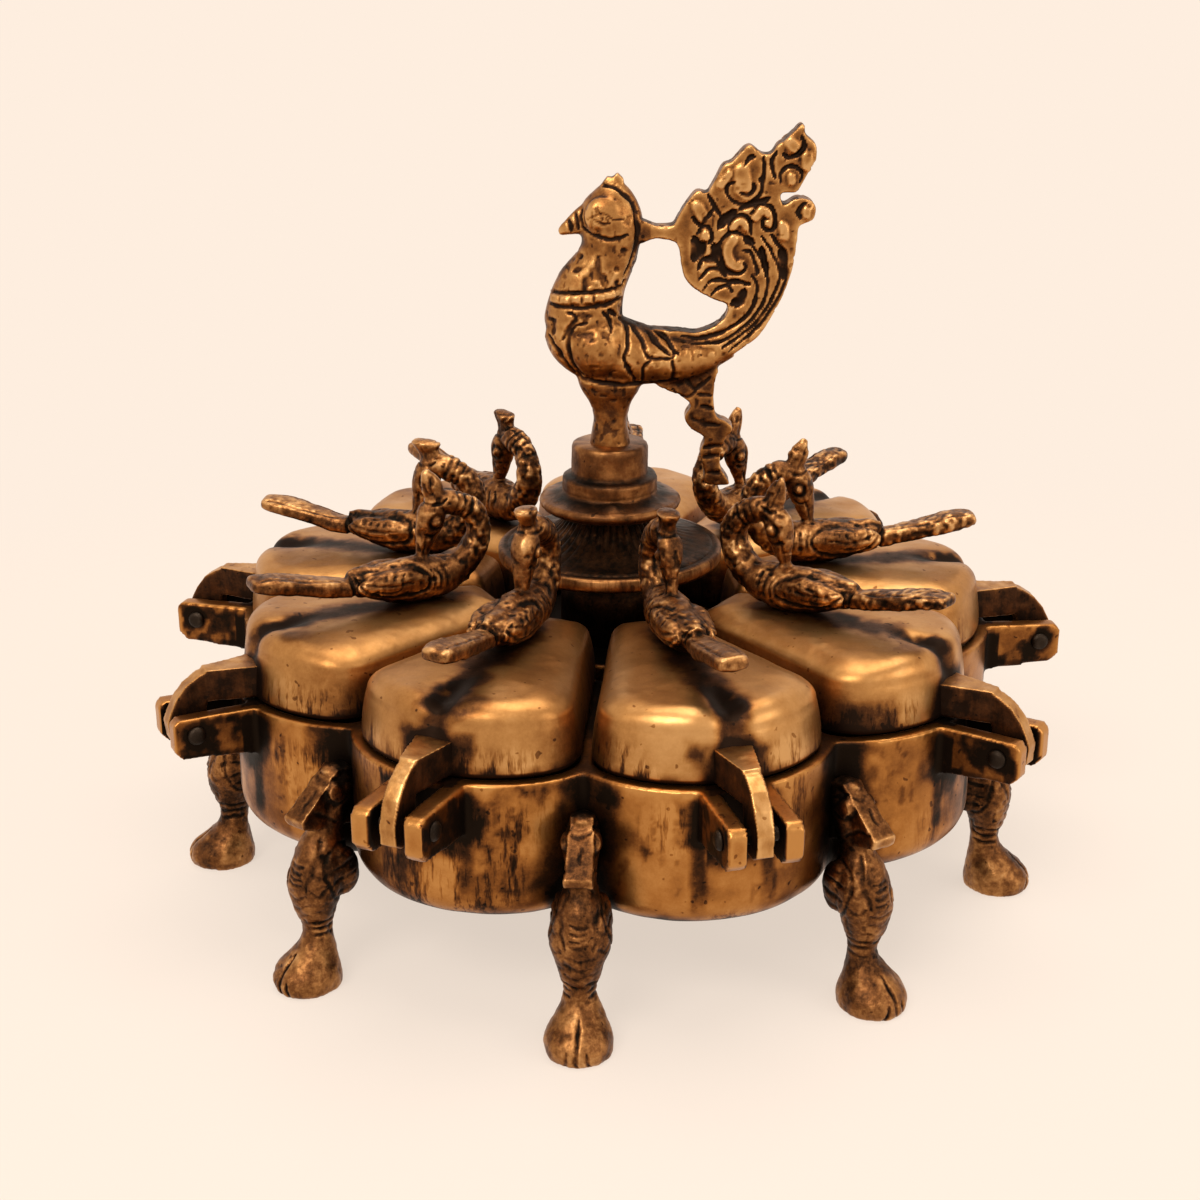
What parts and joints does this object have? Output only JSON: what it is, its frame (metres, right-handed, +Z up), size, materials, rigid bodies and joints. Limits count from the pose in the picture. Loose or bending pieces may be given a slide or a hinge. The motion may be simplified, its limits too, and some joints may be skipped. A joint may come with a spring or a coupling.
{
  "type": "sindoor box",
  "caption": "Antique brass powder box shaped as a flower: each petal is a hinged lid with a bird over its own well, round a column with a peacock, on bird-shaped legs.",
  "frame": {"origin": "on the column's axis, at the plane the feet stand on", "axes": "+Z up along the column; the peacock faces -X; a leg is near -Y, which is the side the picture shows"},
  "size_m": [0.1672, 0.1666, 0.1355],
  "materials": {
    "tray_brass": "antique, dark in the valleys, rubbed on the walls",
    "lid_brass": "antique, rubbed smooth, dark streaks near the lower edge",
    "leg_brass": "antique, dark, gold on raised spots",
    "bird_brass": "antique, dark lines between gold feathers",
    "column_brass": "antique, nearly black in the flutes",
    "rivet_iron": "dark, smooth",
    "stud_brass": "plain turned"
  },
  "bodies": {
    "box": {"tray": "tray_brass", "leg_1": "leg_brass", "leg_2": "leg_brass", "leg_3": "leg_brass", "leg_4": "leg_brass", "leg_5": "leg_brass", "leg_6": "leg_brass", "leg_7": "leg_brass", "leg_8": "leg_brass", "leg_9": "leg_brass", "hinge_pin_1": "rivet_iron", "hinge_pin_2": "rivet_iron", "hinge_pin_3": "rivet_iron", "hinge_pin_4": "rivet_iron", "hinge_pin_5": "rivet_iron", "hinge_pin_6": "rivet_iron", "hinge_pin_7": "rivet_iron", "hinge_pin_8": "rivet_iron", "hinge_pin_9": "rivet_iron", "centre_post": "column_brass", "fluted_bell": "column_brass", "pedestal": "column_brass", "peacock": "bird_brass", "centre_stud": "stud_brass", "stud_nut": "stud_brass", "stud_washer": "stud_brass"},
    "lid_1_body": {"lid_1": "lid_brass", "lid_bird_1": "bird_brass"},
    "lid_2_body": {"lid_2": "lid_brass", "lid_bird_2": "bird_brass"},
    "lid_3_body": {"lid_3": "lid_brass", "lid_bird_3": "bird_brass"},
    "lid_4_body": {"lid_4": "lid_brass", "lid_bird_4": "bird_brass"},
    "lid_5_body": {"lid_5": "lid_brass", "lid_bird_5": "bird_brass"},
    "lid_6_body": {"lid_6": "lid_brass", "lid_bird_6": "bird_brass"},
    "lid_7_body": {"lid_7": "lid_brass", "lid_bird_7": "bird_brass"},
    "lid_8_body": {"lid_8": "lid_brass", "lid_bird_8": "bird_brass"},
    "lid_9_body": {"lid_9": "lid_brass", "lid_bird_9": "bird_brass"}
  },
  "joints": [
    {"name": "lid_1_hinge", "type": "hinge", "parent": "box", "child": "lid_1_body", "pos_m": [0.02205, -0.0769, 0.0401], "axis": [0.9613, 0.2756, 0], "range_deg": [0, 110]},
    {"name": "lid_2_hinge", "type": "hinge", "parent": "box", "child": "lid_2_body", "pos_m": [0.06632, -0.04473, 0.0401], "axis": [0.5592, 0.829, 0], "range_deg": [0, 110]},
    {"name": "lid_3_hinge", "type": "hinge", "parent": "box", "child": "lid_3_body", "pos_m": [0.07956, 0.00836, 0.0401], "axis": [-0.1045, 0.9945, 0], "range_deg": [0, 110]},
    {"name": "lid_4_hinge", "type": "hinge", "parent": "box", "child": "lid_4_body", "pos_m": [0.05557, 0.05755, 0.0401], "axis": [-0.7193, 0.6947, 0], "range_deg": [0, 110]},
    {"name": "lid_5_hinge", "type": "hinge", "parent": "box", "child": "lid_5_body", "pos_m": [0.00558, 0.07981, 0.0401], "axis": [-0.9976, 0.0698, 0], "range_deg": [0, 110]},
    {"name": "lid_6_hinge", "type": "hinge", "parent": "box", "child": "lid_6_body", "pos_m": [-0.04702, 0.06472, 0.0401], "axis": [-0.809, -0.5878, 0], "range_deg": [0, 110]},
    {"name": "lid_7_hinge", "type": "hinge", "parent": "box", "child": "lid_7_body", "pos_m": [-0.07762, 0.01935, 0.0401], "axis": [-0.2419, -0.9703, 0], "range_deg": [0, 110]},
    {"name": "lid_8_hinge", "type": "hinge", "parent": "box", "child": "lid_8_body", "pos_m": [-0.0719, -0.03507, 0.0401], "axis": [0.4384, -0.8988, 0], "range_deg": [0, 110]},
    {"name": "lid_9_hinge", "type": "hinge", "parent": "box", "child": "lid_9_body", "pos_m": [-0.03254, -0.07308, 0.0401], "axis": [0.9135, -0.4067, 0], "range_deg": [0, 110]}
  ]
}
